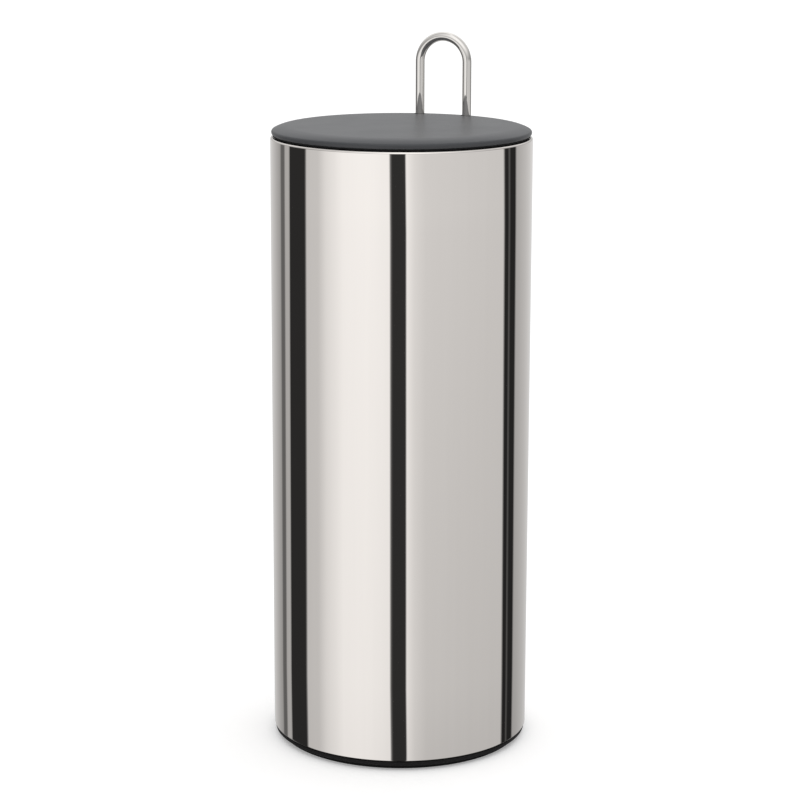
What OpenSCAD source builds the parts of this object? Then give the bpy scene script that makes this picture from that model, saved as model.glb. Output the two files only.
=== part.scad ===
// Free-standing storage canister for three spare toilet rolls.
// The rolls stand on a round tray that hangs on a bent wire, and the wire ends in the handle above the lid,
// so tray, wire and lid lift out of the steel canister together.
// The axis of the canister is Z, the floor is at z = 0, the front is at -Y and the handle is at +Y.

/* [Canister] */
// Outer diameter of the steel shell
shell_d = 140; // [128:1:180]
// Height of the steel shell, from its hem to its rolled rim
shell_h = 326.3; // [226.3:1:426.3]
// Thickness of the steel sheet
sheet = 0.6; // [0.4:0.1:0.8]
// Outer radius of the roll at the top rim
rim_roll = 1.2; // [1.2:0.1:2]
// Length of the lip that the rim turns down inside
rim_lip = 2.2; // [1:0.1:4]
// Outer radius of the bend above the hem
hem_bend = 0.8; // [0.7:0.1:1.5]
// Width of the hem that turns in under the shell
hem_w = 3.4; // [3:0.1:4]

/* [Base] */
// Height of the black base that shows under the shell
base_show = 5.2; // [4.2:0.5:10.2]
// How far the base's skirt stands in from the shell
skirt_inset = 0.7; // [0.5:0.1:1.2]
// Thickness of the skirt
skirt_t = 3; // [1.6:0.1:3.2]
// Height of the shadow groove between the skirt and the hem
groove_h = 0.4; // [0.2:0.1:0.8]
// Width of the shadow groove
groove_w = 0.5; // [0.3:0.1:0.8]
// Radius of the skirt's lower outer edge
skirt_round = 0.6; // [0.4:0.1:1.2]
// Height of the base's floor above the hem
floor_rise = 4; // [3.6:0.1:8]
// Thickness of the base's floor
floor_t = 2; // [1.5:0.1:3]
// Width of the moat that lets the snap tabs flex
moat_w = 3.8; // [3:0.1:6]
// Wall thickness of the base's inner ring
ring_t = 1.4; // [1:0.1:2.5]
// Number of snap tabs that hold the base in the hem
tab_count = 8; // [4:1:12]
// Width of a snap tab
tab_w = 14; // [8:1:20]
// Thickness of a snap tab
tab_t = 1.6; // [1.2:0.1:2]
// How far a snap tab's hook reaches over the hem
hook_reach = 1.1; // [0.6:0.1:1.4]
// Height of the upright edge of a hook
hook_edge = 0.6; // [0.4:0.1:0.8]
// How far the snap tabs stay below the base's floor
tab_drop = 1; // [0.6:0.1:1.2]
// How far the sloping back of a hook leans in at its top
tab_lean = 0.5; // [0.2:0.1:0.8]
// Number of radial ribs under the base
base_ribs = 12; // [6:1:18]
// Thickness of the ribs under the base
base_rib_t = 1.6; // [1:0.1:2.5]
// Clearance between the base's ribs and the floor
base_rib_lift = 3; // [2.8:0.1:4]
// Radius of the ring rib under the base
base_ring_r = 36; // [25:1:45]
// Radius of the hub under the base
base_hub_r = 11; // [8:1:16]

/* [Foot ring] */
// Height of the soft ring that the canister stands on
foot_h = 4; // [3.2:0.1:4.2]
// How far the foot ring stands below the skirt
foot_show = 2.6; // [1.8:0.1:3]
// Width of the foot ring
foot_w = 4.7; // [3:0.1:5]
// Radius of the foot ring's outer lower edge
foot_round = 0.5; // [0.2:0.1:0.8]

/* [Tray] */
// Thickness of the tray's floor
tray_t = 2.5; // [2:0.1:4]
// Depth of the ribs under the tray
tray_rib_h = 3.2; // [3:0.1:6]
// Thickness of the ribs under the tray
tray_rib_t = 1.5; // [1:0.1:2.5]
// Number of radial ribs under the tray
tray_ribs = 10; // [6:2:16]
// Radius of the ring rib under the tray
tray_ring_r = 34; // [25:1:42]
// Radius of the hub under the tray
tray_hub_r = 9; // [6:1:14]
// Height of the tray's lip above its floor
lip_h = 8; // [4:0.5:14]
// Thickness of the tray's lip
lip_t = 1.8; // [1.2:0.1:2.4]
// Height of the sockets that hold the wire upright
socket_h = 12; // [9:1:24]
// Radius of the sockets
socket_r = 5.2; // [4.6:0.1:6]
// Thickness of the web that the wire stands on in a socket
socket_web = 1.9; // [1.5:0.1:2.5]
// Reach of the gussets that stiffen a socket
gusset_reach = 5; // [3:0.5:8]
// How far the gussets stay below the top of a socket
gusset_drop = 2; // [1:0.5:4]

/* [Wire and handle] */
// Diameter of the wire
wire_d = 5; // [4:0.1:5.6]
// Distance between the two legs of the wire
leg_gap = 27.8; // [24:0.2:40]
// Distance from the outside of the shell in to the centre of each leg
leg_inset = 9.9; // [9.9:0.1:16]
// Height of the handle above the lid
handle_rise = 45.3; // [30:0.1:80]
// Chamfer at the lower ends of the wire
wire_chamfer = 0.4; // [0.2:0.1:0.8]
// Depth of the groove that holds a retaining clip
clip_groove = 0.5; // [0.3:0.05:0.7]

/* [Lid] */
// Height of the lid, from its lower edge to its flat top
lid_h = 5.1; // [4.8:0.1:6.4]
// Gap between the shell's rim and the lid's lower edge
lid_gap = 0.9; // [0.7:0.1:1.6]
// How far the lid's edge stands in from the shell
lid_inset = 0.6; // [0.4:0.1:1.2]
// Radius of the lid's round edge
lid_edge = 1.6; // [1.3:0.1:1.9]
// Width of the border that falls from the lid's flat middle, in from the outside of the shell
lid_border = 10; // [8:0.5:16]
// Thickness of the lid's side where it is widest
lid_side_t = 2.6; // [2.2:0.1:3]
// Wall thickness of the lid
lid_t = 2; // [1.6:0.1:2.2]
// Thickness of the locating ring under the lid
locate_t = 1.8; // [1.4:0.1:2]
// Depth of the locating ring below the lid's lower edge
locate_drop = 3; // [2.6:0.1:4]
// How far the bosses for the bushes reach below the lid's lower edge
boss_drop = 1.5; // [1.2:0.1:1.8]
// Wall thickness of the bosses that hold the bushes
boss_t = 1.3; // [1:0.1:1.3]
// Radius of the bosses for the liner's screws
screw_boss_r = 3.6; // [3:0.1:4.5]
// Number of radial ribs under the lid
lid_ribs = 8; // [6:1:14]
// Thickness of the ribs under the lid
lid_rib_t = 1.4; // [1:0.1:2]
// Depth of the ribs under the lid
lid_rib_h = 3.4; // [2:0.1:4]
// Radius of the ring rib under the lid
lid_ring_r = 26; // [20:1:30]
// Radius of the hub under the lid
lid_hub_r = 10; // [7:1:14]

/* [Lid liner] */
// Thickness of the liner that closes the lid from below
liner_t = 2; // [1.6:0.1:2.6]
// Depth of the liner's skirt, which centres the lid in the rim
liner_skirt_h = 6; // [4:0.5:10]
// Thickness of the liner's skirt
liner_skirt_t = 1.6; // [1.2:0.1:2]
// Depth of the cups that cover the retaining clips
cup_h = 3; // [2.6:0.1:5]
// Wall thickness of the cups
cup_t = 1.2; // [1:0.1:1.6]
// Depth of the seats that the liner's screws sit in
seat_h = 1.6; // [1.4:0.1:2.4]
// Wall thickness of those seats
seat_t = 1.5; // [1:0.1:2]

/* [Seal, bushes and clips] */
// Width of the seal's flange, from the locating ring outwards
seal_flange = 3.2; // [2.8:0.1:3.5]
// Thickness of the seal's sleeve round the locating ring
seal_t = 1.4; // [0.8:0.1:1.5]
// Wall thickness of a bush
bush_t = 0.75; // [0.5:0.05:1]
// Radius of a bush's flange
bush_flange_r = 3.9; // [3.7:0.05:4]
// Thickness of a bush's flange
bush_flange_t = 1.1; // [0.8:0.1:1.4]
// How far the top of a bush lies below the lid's surface
bush_sink = 0.4; // [0.3:0.1:1]
// Outer radius of a retaining clip
clip_r = 4; // [3.8:0.05:4.1]
// Thickness of a retaining clip
clip_t = 0.8; // [0.6:0.1:1]
// Width of the mouth of a retaining clip
clip_mouth = 3.6; // [3:0.1:3.8]

/* [Screws and washers] */
// Diameter of the screws that hold the tray on the wire
tray_screw_d = 3; // [2.5:0.5:3]
// Length of those screws under the head
tray_screw_l = 10; // [8:1:16]
// Diameter of their heads
tray_head_d = 5.5; // [5:0.1:6]
// Height of their heads
tray_head_h = 2; // [1.6:0.1:2.2]
// Outer diameter of the washers
washer_d = 7.6; // [7:0.1:8]
// Thickness of the washers
washer_t = 0.5; // [0.4:0.1:0.6]
// Number of screws that hold the liner
liner_screw_count = 3; // [3:1:4]
// Distance from the outside of the shell in to the liner's screws
liner_screw_inset = 26; // [22:1:32]
// Diameter of the liner's screws
liner_screw_d = 2.9; // [2.5:0.1:3.2]
// Diameter of their heads
liner_head_d = 5.6; // [5:0.1:6]
// Height of their heads
liner_head_h = 1.6; // [1.2:0.1:2]
// How far the liner's screw heads sink into their seats
head_sink = 0.2; // [0:0.1:0.4]
// Width of the slots across the cross recess of every screw
recess_w = 0.9; // [0.6:0.1:1.2]
// Depth of the cross recess
recess_depth = 0.9; // [0.6:0.1:1.2]
// Depth left in the wire beyond the tip of a tray screw
bore_room = 2; // [1:0.5:4]
// Plastic left above the bores of the liner's screws
bore_skin = 0.4; // [0.3:0.1:0.6]
// Gap between the tips of the liner's screws and the ends of their bores
tip_gap = 0.6; // [0.4:0.1:1.2]

/* [Clearances] */
// Gap between the tray and the rim that it lifts through
tray_play = 1; // [0.6:0.1:1.2]
// Gap between the liner's skirt and the rim
liner_play = 0.7; // [0.4:0.1:1.5]
// Gap between the tray's ribs and the base's floor
rest_gap = 0.3; // [0.2:0.1:1]
// Gap between the seal and the rim
seal_gap = 0.3; // [0.2:0.1:0.5]
// Gap round what is pushed or screwed together for good
fit_gap = 0.05; // [0.02:0.01:0.1]
// Gap between the base's tabs and the edge of the hem
hem_gap = 0.2; // [0.1:0.05:0.3]
// Radial gap round the wire and the screw heads where they pass a hole
hole_gap = 0.25; // [0.2:0.05:0.4]

/* [Hidden] */
$fn = 96;
join = 0.4;        // overlap that merges the features of one moulding
past = 1;          // how far what is cut away reaches past a face
front = 270;       // direction of the front, in degrees
dome_r = 0.7;      // dome radius of a screw head, as a share of the head's diameter
dome_z = 0.62;     // height of the dome's centre, as a share of the head's diameter
arm_share = 0.3;   // reach of a recess arm, as a share of the head's diameter
shell_r = shell_d / 2;
hem_z = base_show;
rim_z = hem_z + shell_h;
rim_in = shell_r - 2 * rim_roll;
hem_in = shell_r - hem_w;

skirt_r = shell_r - skirt_inset;
skirt_z = foot_show;
collar_r = hem_in - hem_gap;
collar_in = collar_r - tab_t;
ring_out = collar_in - moat_w;
ring_in = ring_out - ring_t;
floor_z = hem_z + floor_rise;
hook_z = hem_z + sheet + fit_gap;
tab_slack = 1;
foot_out = skirt_r - skirt_t - fit_gap;
foot_in = foot_out - foot_w;

tray_r = rim_in - tray_play;
tray_low = floor_z + rest_gap;
tray_floor_low = tray_low + tray_rib_h;
tray_floor = tray_floor_low + tray_t;
head_recess = tray_head_h + washer_t + hole_gap;
wire_end = tray_low + head_recess + socket_web;
socket_top = tray_floor + socket_h;

wire_r = wire_d / 2;
leg_x = leg_gap / 2;
wire_back = sqrt(pow(shell_r - leg_inset, 2) - pow(leg_x, 2));
lid_low = rim_z + lid_gap;
lid_top = lid_low + lid_h;
handle_top = lid_top + handle_rise;
bend_z = handle_top - wire_r - leg_x;
wire_bore = tray_screw_d / 2 + fit_gap;
wire_bore_depth = tray_screw_l + bore_room;

lid_r = shell_r - lid_inset;
lid_edge_r = lid_r - lid_edge;
lid_flat_r = shell_r - lid_border;
lid_fall = lid_h - lid_edge;
lid_fall_w = lid_edge_r - lid_flat_r;
lid_crown = (pow(lid_fall_w, 2) + pow(lid_fall, 2) - pow(lid_edge, 2)) / (2 * (lid_fall - lid_edge));
lid_crown_z = lid_top - lid_crown;
lid_turn_r = lid_flat_r + lid_fall_w * lid_crown / (lid_crown - lid_edge);
lid_under = lid_top - lid_t;
liner_r = rim_in - liner_play;
locate_out = liner_r - liner_skirt_t;
locate_in = locate_out - locate_t;
liner_top = lid_low - locate_drop;
liner_low = liner_top - liner_t;
boss_low = lid_low - boss_drop;
bush_r = wire_r + fit_gap + bush_t;
bush_hole = bush_r + fit_gap;
bush_boss_r = bush_hole + boss_t;
clip_z = boss_low - bush_flange_t - clip_t - fit_gap;
clip_in = wire_r - clip_groove + fit_gap;
clip_hole_r = 0.5;
pocket_r = clip_r + hole_gap;
seat_r = liner_head_d / 2 + hole_gap + seat_t;
seat_low = liner_low - seat_h;
liner_head_top = seat_low + liner_head_h + head_sink;
liner_bore_top = lid_under - bore_skin;

// Puts the children at one leg of the wire: side is -1 for the left leg and 1 for the right leg.
module at_leg(side) {
    translate([side * leg_x, wire_back, 0]) children();
}

// A tube or ring between two heights.
module ring(outer, inner, low, high) {
    translate([0, 0, low]) difference() {
        cylinder(r = outer, h = high - low);
        translate([0, 0, -past]) cylinder(r = inner, h = high - low + 2 * past);
    }
}

// A post between two heights.
module post(r, low, high) {
    translate([0, 0, low]) cylinder(r = r, h = high - low);
}

// Straight ribs that run outwards from the axis, evenly spaced.
module spokes(count, thick, inner, outer, low, high) {
    for (i = [0 : count - 1]) {
        rotate([0, 0, (i + 0.5) * 360 / count])
            translate([inner, -thick / 2, low])
            cube([outer - inner, thick, high - low]);
    }
}

// A pan-head screw that stands on its head, with a cross recess under the head.
module screw(d, length, head_d, head_h) {
    difference() {
        union() {
            intersection() {
                cylinder(r = head_d / 2, h = head_h);
                translate([0, 0, head_d * dome_z]) sphere(r = head_d * dome_r);
            }
            post(d / 2, head_h - join, head_h + length);
        }
        for (turn = [0, 90]) {
            rotate([0, 0, turn])
                translate([-head_d * arm_share, -recess_w / 2, -past])
                cube([2 * head_d * arm_share, recess_w, past + recess_depth]);
        }
    }
}

// Half section of the shell: rolled rim, wall, bend and hem.
module shell_section() {
    difference() {
        union() {
            translate([shell_r - rim_roll, rim_z - rim_roll]) circle(rim_roll);
            translate([rim_in, rim_z - rim_roll - rim_lip]) square([2 * rim_roll, rim_lip]);
        }
        translate([shell_r - rim_roll, rim_z - rim_roll]) circle(rim_roll - sheet);
        translate([rim_in + sheet, rim_z - rim_roll - rim_lip - past]) square([2 * rim_roll, rim_lip + past]);
    }
    translate([shell_r - sheet, hem_z + hem_bend]) square([sheet, shell_h - hem_bend - rim_roll]);
    intersection() {
        translate([shell_r - hem_bend, hem_z + hem_bend]) difference() {
            circle(hem_bend);
            circle(hem_bend - sheet);
        }
        translate([shell_r - hem_bend, hem_z]) square(hem_bend);
    }
    translate([hem_in, hem_z]) square([hem_w - hem_bend, sheet]);
}

module shell() {
    color("Gainsboro") rotate_extrude() shell_section();
}

// Half section of the base without its ribs, through one of the snap tabs.
module base_section() {
    difference() {
        translate([ring_in, skirt_z]) square([skirt_r - ring_in, hem_z - skirt_z]);
        translate([ring_out, skirt_z - past]) square([foot_out + fit_gap - ring_out, foot_h - skirt_z + past]);
        translate([skirt_r - groove_w, hem_z - groove_h]) square([groove_w + past, groove_h + past]);
        translate([skirt_r - skirt_round, skirt_z]) difference() {
            translate([0, -past]) square([skirt_round + past, skirt_round + past]);
            translate([0, skirt_round]) circle(skirt_round);
        }
    }
    translate([ring_in, skirt_z]) square([ring_t, floor_z - skirt_z]);
    translate([0, floor_z - floor_t]) square([ring_out, floor_t]);
    tab_section();
}

// Half section of the collar with the hook that reaches over the hem.
module tab_section() {
    top = floor_z - tab_drop;
    polygon([
        [collar_in, hem_z - join],
        [collar_r, hem_z - join],
        [collar_r, hook_z],
        [collar_r + hook_reach, hook_z],
        [collar_r + hook_reach, hook_z + hook_edge],
        [collar_r - tab_lean, top],
        [collar_in, top]
    ]);
}

module base() {
    tab_angle = 360 * tab_w / (2 * PI * collar_r);
    pitch = 360 / tab_count;
    color("#232225") {
        difference() {
            rotate_extrude() base_section();
            for (i = [0 : tab_count - 1]) {
                rotate([0, 0, i * pitch + tab_angle / 2])
                    rotate_extrude(angle = pitch - tab_angle)
                    translate([collar_in - tab_slack, hem_z + sheet / 2])
                    square([tab_t + hook_reach + 2 * tab_slack, floor_rise + tab_slack]);
            }
        }
        ring(base_ring_r + base_rib_t / 2, base_ring_r - base_rib_t / 2, base_rib_lift, floor_z - floor_t + join);
        ring(base_hub_r, base_hub_r - base_rib_t, base_rib_lift, floor_z - floor_t + join);
        spokes(base_ribs, base_rib_t, base_hub_r - join, ring_in + join, base_rib_lift, floor_z - floor_t + join);
    }
}

module foot_ring() {
    color("#1b1b1d") rotate_extrude() difference() {
        translate([foot_in, 0]) square([foot_w, foot_h]);
        translate([foot_out - foot_round, 0]) difference() {
            translate([0, -past]) square([foot_round + past, foot_round + past]);
            translate([0, foot_round]) circle(foot_round);
        }
    }
}

// Half section of the tray: floor, rim rib and lip with a rounded top.
module tray_section() {
    translate([0, tray_floor_low]) square([tray_r, tray_t]);
    translate([tray_r - lip_t, tray_low]) square([lip_t, tray_floor + lip_h - lip_t / 2 - tray_low]);
    translate([tray_r - lip_t / 2, tray_floor + lip_h - lip_t / 2]) circle(lip_t / 2);
}

module tray() {
    color("#3c3c3f") difference() {
        union() {
            rotate_extrude() tray_section();
            ring(tray_ring_r + tray_rib_t / 2, tray_ring_r - tray_rib_t / 2, tray_low, tray_floor_low + join);
            ring(tray_hub_r, tray_hub_r - tray_rib_t, tray_low, tray_floor_low + join);
            spokes(tray_ribs, tray_rib_t, tray_hub_r - join, tray_r - join, tray_low, tray_floor_low + join);
            intersection() {
                for (side = [-1, 1]) at_leg(side) post(socket_r, tray_low, socket_top);
                post(tray_r, tray_low, socket_top);
            }
            for (side = [-1, 1]) at_leg(side) socket_gussets();
        }
        for (side = [-1, 1]) at_leg(side) {
            post(wire_r + fit_gap, wire_end, socket_top + past);
            post(tray_screw_d / 2 + hole_gap, tray_low, wire_end + past);
            post(washer_d / 2 + hole_gap, tray_low - past, tray_low + head_recess);
        }
    }
}

// Three thin webs that stiffen a socket against the tray's floor.
module socket_gussets() {
    root = (wire_r + socket_r) / 2;
    for (turn = [180, 270, 360]) {
        rotate([0, 0, turn]) translate([0, tray_rib_t / 2, 0]) rotate([90, 0, 0])
            linear_extrude(tray_rib_t) polygon([
                [root, tray_floor - join],
                [socket_r + gusset_reach, tray_floor - join],
                [socket_r + gusset_reach, tray_floor],
                [socket_r - join, socket_top - gusset_drop],
                [root, socket_top - gusset_drop]
            ]);
    }
}

module tray_screws() {
    color("Silver") for (side = [-1, 1]) {
        at_leg(side) translate([0, 0, tray_low + hole_gap])
            screw(tray_screw_d, tray_screw_l, tray_head_d, tray_head_h);
    }
}

module tray_washers() {
    color("LightGray") for (side = [-1, 1]) {
        at_leg(side)
            ring(washer_d / 2, tray_screw_d / 2 + fit_gap,
                 tray_low + head_recess - washer_t, tray_low + head_recess);
    }
}

// One leg of the wire, with the groove for its clip and the bore for its screw.
module wire_leg() {
    difference() {
        post(wire_r, wire_end, bend_z);
        post(wire_bore, wire_end - past, wire_end + wire_bore_depth);
        ring(wire_r + past, wire_r - clip_groove, clip_z - fit_gap, clip_z + clip_t + fit_gap);
        translate([0, 0, wire_end]) difference() {
            translate([0, 0, -past]) cylinder(r = wire_r + past, h = wire_chamfer + past);
            cylinder(r1 = wire_r - wire_chamfer, r2 = wire_r, h = wire_chamfer);
        }
    }
}

module wire_handle() {
    color("#c9c7c4") {
        for (side = [-1, 1]) at_leg(side) wire_leg();
        translate([0, wire_back, bend_z]) rotate([90, 0, 0])
            rotate_extrude(angle = 180) translate([leg_x, 0]) circle(wire_r);
    }
}

// A retaining clip: a thin collar with a mouth that snaps into the groove of the wire.
module wire_clip() {
    difference() {
        ring(clip_r, clip_in, clip_z, clip_z + clip_t);
        translate([-clip_mouth / 2, -clip_r - past, clip_z - past])
            cube([clip_mouth, clip_r + past, clip_t + 2 * past]);
        for (side = [-1, 1]) {
            translate([side * (clip_in + clip_r) / 2, 0, 0]) post(clip_hole_r, clip_z - past, clip_z + clip_t + past);
        }
    }
}

module left_wire_clip() {
    color("DimGray") at_leg(-1) wire_clip();
}

module right_wire_clip() {
    color("DimGray") at_leg(1) wire_clip();
}

// A flanged bush that is pushed into the lid from below and grips the wire.
module wire_bush() {
    difference() {
        union() {
            post(bush_r, boss_low - join, lid_top - bush_sink);
            post(bush_flange_r, boss_low - bush_flange_t, boss_low);
        }
        post(wire_r + fit_gap / 2, boss_low - bush_flange_t - past, lid_top);
    }
}

module left_wire_bush() {
    color("#2a2a2c") at_leg(-1) wire_bush();
}

module right_wire_bush() {
    color("#2a2a2c") at_leg(1) wire_bush();
}

// Half section of the crown: flat in the middle and falling to an arc, drawn in by the given depth.
module crown_section(depth, reach, low) {
    intersection() {
        union() {
            translate([0, low]) square([lid_flat_r, lid_top - depth - low]);
            translate([lid_flat_r, lid_crown_z]) circle(lid_crown - depth);
        }
        translate([0, low]) square([reach, lid_top - low]);
    }
}

// Half section of the lid before its ring, ribs and bosses: the crown ends in a half-round edge.
module lid_section() {
    difference() {
        union() {
            crown_section(0, lid_turn_r, lid_low + lid_edge);
            translate([0, lid_low]) square([lid_edge_r, lid_edge]);
            translate([lid_edge_r, lid_low + lid_edge]) circle(lid_edge);
        }
        crown_section(lid_t, lid_r - lid_side_t, lid_low - past);
    }
}

// Puts the children at each screw of the liner.
module at_liner_screws() {
    for (i = [0 : liner_screw_count - 1]) {
        rotate([0, 0, front + i * 360 / liner_screw_count])
            translate([shell_r - liner_screw_inset, 0, 0])
            children();
    }
}

module lid() {
    color("#7d7d7e") difference() {
        union() {
            rotate_extrude() lid_section();
            ring(locate_out, locate_in, liner_top, lid_under + join);
            ring(lid_ring_r + lid_rib_t / 2, lid_ring_r - lid_rib_t / 2, lid_under - lid_rib_h, lid_under + join);
            ring(lid_hub_r, lid_hub_r - lid_rib_t, lid_under - lid_rib_h, lid_under + join);
            spokes(lid_ribs, lid_rib_t, lid_hub_r - join, locate_in + join, lid_under - lid_rib_h, lid_under + join);
            intersection() {
                for (side = [-1, 1]) at_leg(side) post(bush_boss_r, boss_low, lid_under + join);
                post(locate_out, boss_low, lid_under + join);
            }
            at_liner_screws() post(screw_boss_r, liner_top, lid_under + join);
        }
        for (side = [-1, 1]) at_leg(side) {
            post(bush_hole, liner_top - past, lid_top + past);
            post(pocket_r, liner_top - past, boss_low);
        }
        at_liner_screws() post(liner_screw_d / 2 + fit_gap, liner_top - past, liner_bore_top);
    }
}

module lid_seal() {
    low = rim_z + seal_gap;
    color("#161617") rotate_extrude() {
        translate([locate_out + fit_gap, low]) square([seal_flange, lid_low - low]);
        translate([locate_out + fit_gap, liner_top]) square([seal_t, lid_low - liner_top]);
    }
}

module lid_liner() {
    cup_low = liner_low - cup_h;
    color("#4a4a4c") difference() {
        union() {
            ring(liner_r, 0, liner_low, liner_top);
            ring(liner_r, liner_r - liner_skirt_t, liner_low - liner_skirt_h, liner_low + join);
            intersection() {
                for (side = [-1, 1]) at_leg(side) post(pocket_r + cup_t, cup_low, liner_top);
                post(liner_r, cup_low, liner_top);
            }
            at_liner_screws() post(seat_r, seat_low, liner_top);
        }
        for (side = [-1, 1]) at_leg(side) {
            post(pocket_r, cup_low + cup_t, liner_top + past);
            post(wire_r + hole_gap, cup_low - past, liner_top);
        }
        at_liner_screws() {
            post(liner_head_d / 2 + hole_gap, seat_low - past, liner_head_top);
            post(liner_screw_d / 2 + hole_gap, seat_low, liner_top + past);
        }
    }
}

module liner_screws() {
    length = liner_bore_top - tip_gap - liner_head_top;
    color("Silver") at_liner_screws() translate([0, 0, liner_head_top - liner_head_h])
        screw(liner_screw_d, length, liner_head_d, liner_head_h);
}

shell();
base();
foot_ring();
tray();
tray_screws();
tray_washers();
wire_handle();
left_wire_clip();
right_wire_clip();
left_wire_bush();
right_wire_bush();
lid();
lid_seal();
lid_liner();
liner_screws();
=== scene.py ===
import math

import bpy
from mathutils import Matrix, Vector


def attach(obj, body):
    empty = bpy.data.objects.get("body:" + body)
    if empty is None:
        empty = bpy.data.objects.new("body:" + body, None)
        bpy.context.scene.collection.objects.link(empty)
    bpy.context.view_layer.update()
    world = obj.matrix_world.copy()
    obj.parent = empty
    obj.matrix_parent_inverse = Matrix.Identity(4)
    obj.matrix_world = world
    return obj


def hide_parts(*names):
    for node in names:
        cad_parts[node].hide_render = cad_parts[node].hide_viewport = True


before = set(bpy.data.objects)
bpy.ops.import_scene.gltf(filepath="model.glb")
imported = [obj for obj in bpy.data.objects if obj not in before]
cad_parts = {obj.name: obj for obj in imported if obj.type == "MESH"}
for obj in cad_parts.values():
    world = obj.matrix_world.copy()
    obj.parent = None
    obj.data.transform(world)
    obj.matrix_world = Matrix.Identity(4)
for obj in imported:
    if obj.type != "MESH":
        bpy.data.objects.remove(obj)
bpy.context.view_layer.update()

# ---------------------------------------------------------------------------------------------
# Sizes, in millimetres, as in the part's source
# ---------------------------------------------------------------------------------------------
MM = 0.001  # one millimetre in metres
PAST = 1.0  # how far a cutting tool runs past what it cuts
ROOT = 0.5  # how far a rib or a boss runs into what carries it
FIT = 0.05  # gap between pieces that fit together
HOLE_GAP = 0.25  # gap round what passes through a hole
MERGE = 0.002 * MM  # points that are closer than this become one

# Facets round a full turn
SHELL_STEPS = 288
LID_STEPS = 256
RING_STEPS = 192
BORE_STEPS = 64
SCREW_STEPS = 48
BEND_STEPS = 64  # over half a turn

SHELL_R = 70.0
SHEET = 0.6
HEM_Z = 5.2
RIM_Z = 331.5
RIM_ROLL = 1.2
RIM_LIP = 2.2
RIM_IN = SHELL_R - 2 * RIM_ROLL
HEM_BEND = 0.8
HEM_IN = SHELL_R - 3.4
# Heights over which the painted shade on the hem's bend fades out, from darkest below to none above
HEM_PAINTED_SHADE = (HEM_Z + 0.54, HEM_Z + 0.66)

SKIRT_R = SHELL_R - 0.7
SKIRT_T = 3.0
SKIRT_Z = 2.6
SKIRT_ROUND = 0.6
GROOVE_H = 0.4
GROOVE_W = 0.5
COLLAR_R = HEM_IN - 0.2
TAB_T = 1.6
COLLAR_IN = COLLAR_R - TAB_T
BASE_RING_OUT = COLLAR_IN - 3.8
BASE_RING_IN = BASE_RING_OUT - 1.4
BASE_FLOOR = HEM_Z + 4.0
BASE_FLOOR_T = 2.0
TAB_TOP = BASE_FLOOR - 1.0
HOOK_Z = HEM_Z + SHEET + FIT
HOOK_REACH = 1.1
HOOK_EDGE = 0.6
TAB_LEAN = 0.5
TAB_COUNT = 8
TAB_W = 14.0
TAB_ANGLE = TAB_W / COLLAR_R
BASE_RIBS = 12
BASE_RIB_T = 1.6
BASE_RIB_LOW = 3.0
BASE_RIB_RING = 36.0
BASE_HUB = 11.0
FOOT_H = 4.0
FOOT_OUT = SKIRT_R - SKIRT_T - FIT
FOOT_IN = FOOT_OUT - 4.7
TREAD_W = 0.4
TREAD_DEPTH = 0.3

TRAY_R = RIM_IN - 1.0
TRAY_LOW = BASE_FLOOR + 0.3
TRAY_FLOOR_LOW = TRAY_LOW + 3.2
TRAY_FLOOR = TRAY_FLOOR_LOW + 2.5
TRAY_RIB_T = 1.5
TRAY_RIBS = 10
TRAY_RIB_RING = 34.0
TRAY_HUB = 9.0
LIP_T = 1.8
LIP_TOP = TRAY_FLOOR + 8.0
SOCKET_R = 5.2
SOCKET_TOP = TRAY_FLOOR + 12.0
GUSSET_REACH = 5.0
GUSSET_ROOT = 1.6
GUSSET_TOP = SOCKET_TOP - 2.0
TRAY_HEAD_D = 5.5
TRAY_HEAD_H = 2.0
TRAY_SCREW_R = 1.5
TRAY_SCREW_L = 10.0
SCREW_PASS = TRAY_SCREW_R + HOLE_GAP
WASHER_R = 3.8
WASHER_T = 0.5
WASHER_BORE = TRAY_SCREW_R + FIT
HEAD_RECESS = TRAY_HEAD_H + WASHER_T + HOLE_GAP
WIRE_END = TRAY_LOW + HEAD_RECESS + 1.9

WIRE_R = 2.5
TAP_R = TRAY_SCREW_R + FIT
TAP_DEPTH = 12.0
LEG_X = 13.9
WIRE_BACK = math.sqrt((SHELL_R - 9.9) ** 2 - LEG_X**2)
LID_LOW = RIM_Z + 0.9
LID_TOP = LID_LOW + 5.1
BEND_Z = LID_TOP + 45.3 - WIRE_R - LEG_X
CLIP_GROOVE = 0.5

LID_R = SHELL_R - 0.6
LID_EDGE = 1.6
LID_EDGE_R = LID_R - LID_EDGE
LID_FLAT_R = SHELL_R - 10.0
LID_SIDE_T = 2.6
LID_T = 2.0
LID_FALL = LID_TOP - LID_LOW - LID_EDGE
CROWN_R = ((LID_EDGE_R - LID_FLAT_R) ** 2 + LID_FALL**2 - LID_EDGE**2) / (2 * (LID_FALL - LID_EDGE))
CROWN_Z = LID_TOP - CROWN_R
LID_UNDER = LID_TOP - LID_T
LINER_R = RIM_IN - 0.7
LINER_SKIRT_T = 1.6
LINER_SKIRT_H = 6.0
LOCATE_OUT = LINER_R - LINER_SKIRT_T
LOCATE_IN = LOCATE_OUT - 1.8
LINER_TOP = LID_LOW - 3.0
LINER_LOW = LINER_TOP - 2.0
BOSS_LOW = LID_LOW - 1.5
BUSH_R = WIRE_R + FIT + 0.75
BUSH_HOLE = BUSH_R + FIT
BUSH_BOSS = BUSH_HOLE + 1.3
BUSH_FLANGE_R = 3.9
BUSH_FLANGE_T = 1.1
BUSH_TOP = LID_TOP - 0.4
CLIP_R = 4.0
CLIP_T = 0.8
CLIP_Z = BOSS_LOW - BUSH_FLANGE_T - CLIP_T - FIT
CLIP_IN = WIRE_R - CLIP_GROOVE + FIT
CLIP_MOUTH = 3.6
CLIP_HOLE_R = 0.5
POCKET_R = CLIP_R + HOLE_GAP
CUP_H = 3.0
CUP_T = 1.2
LID_RIBS = 8
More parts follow.
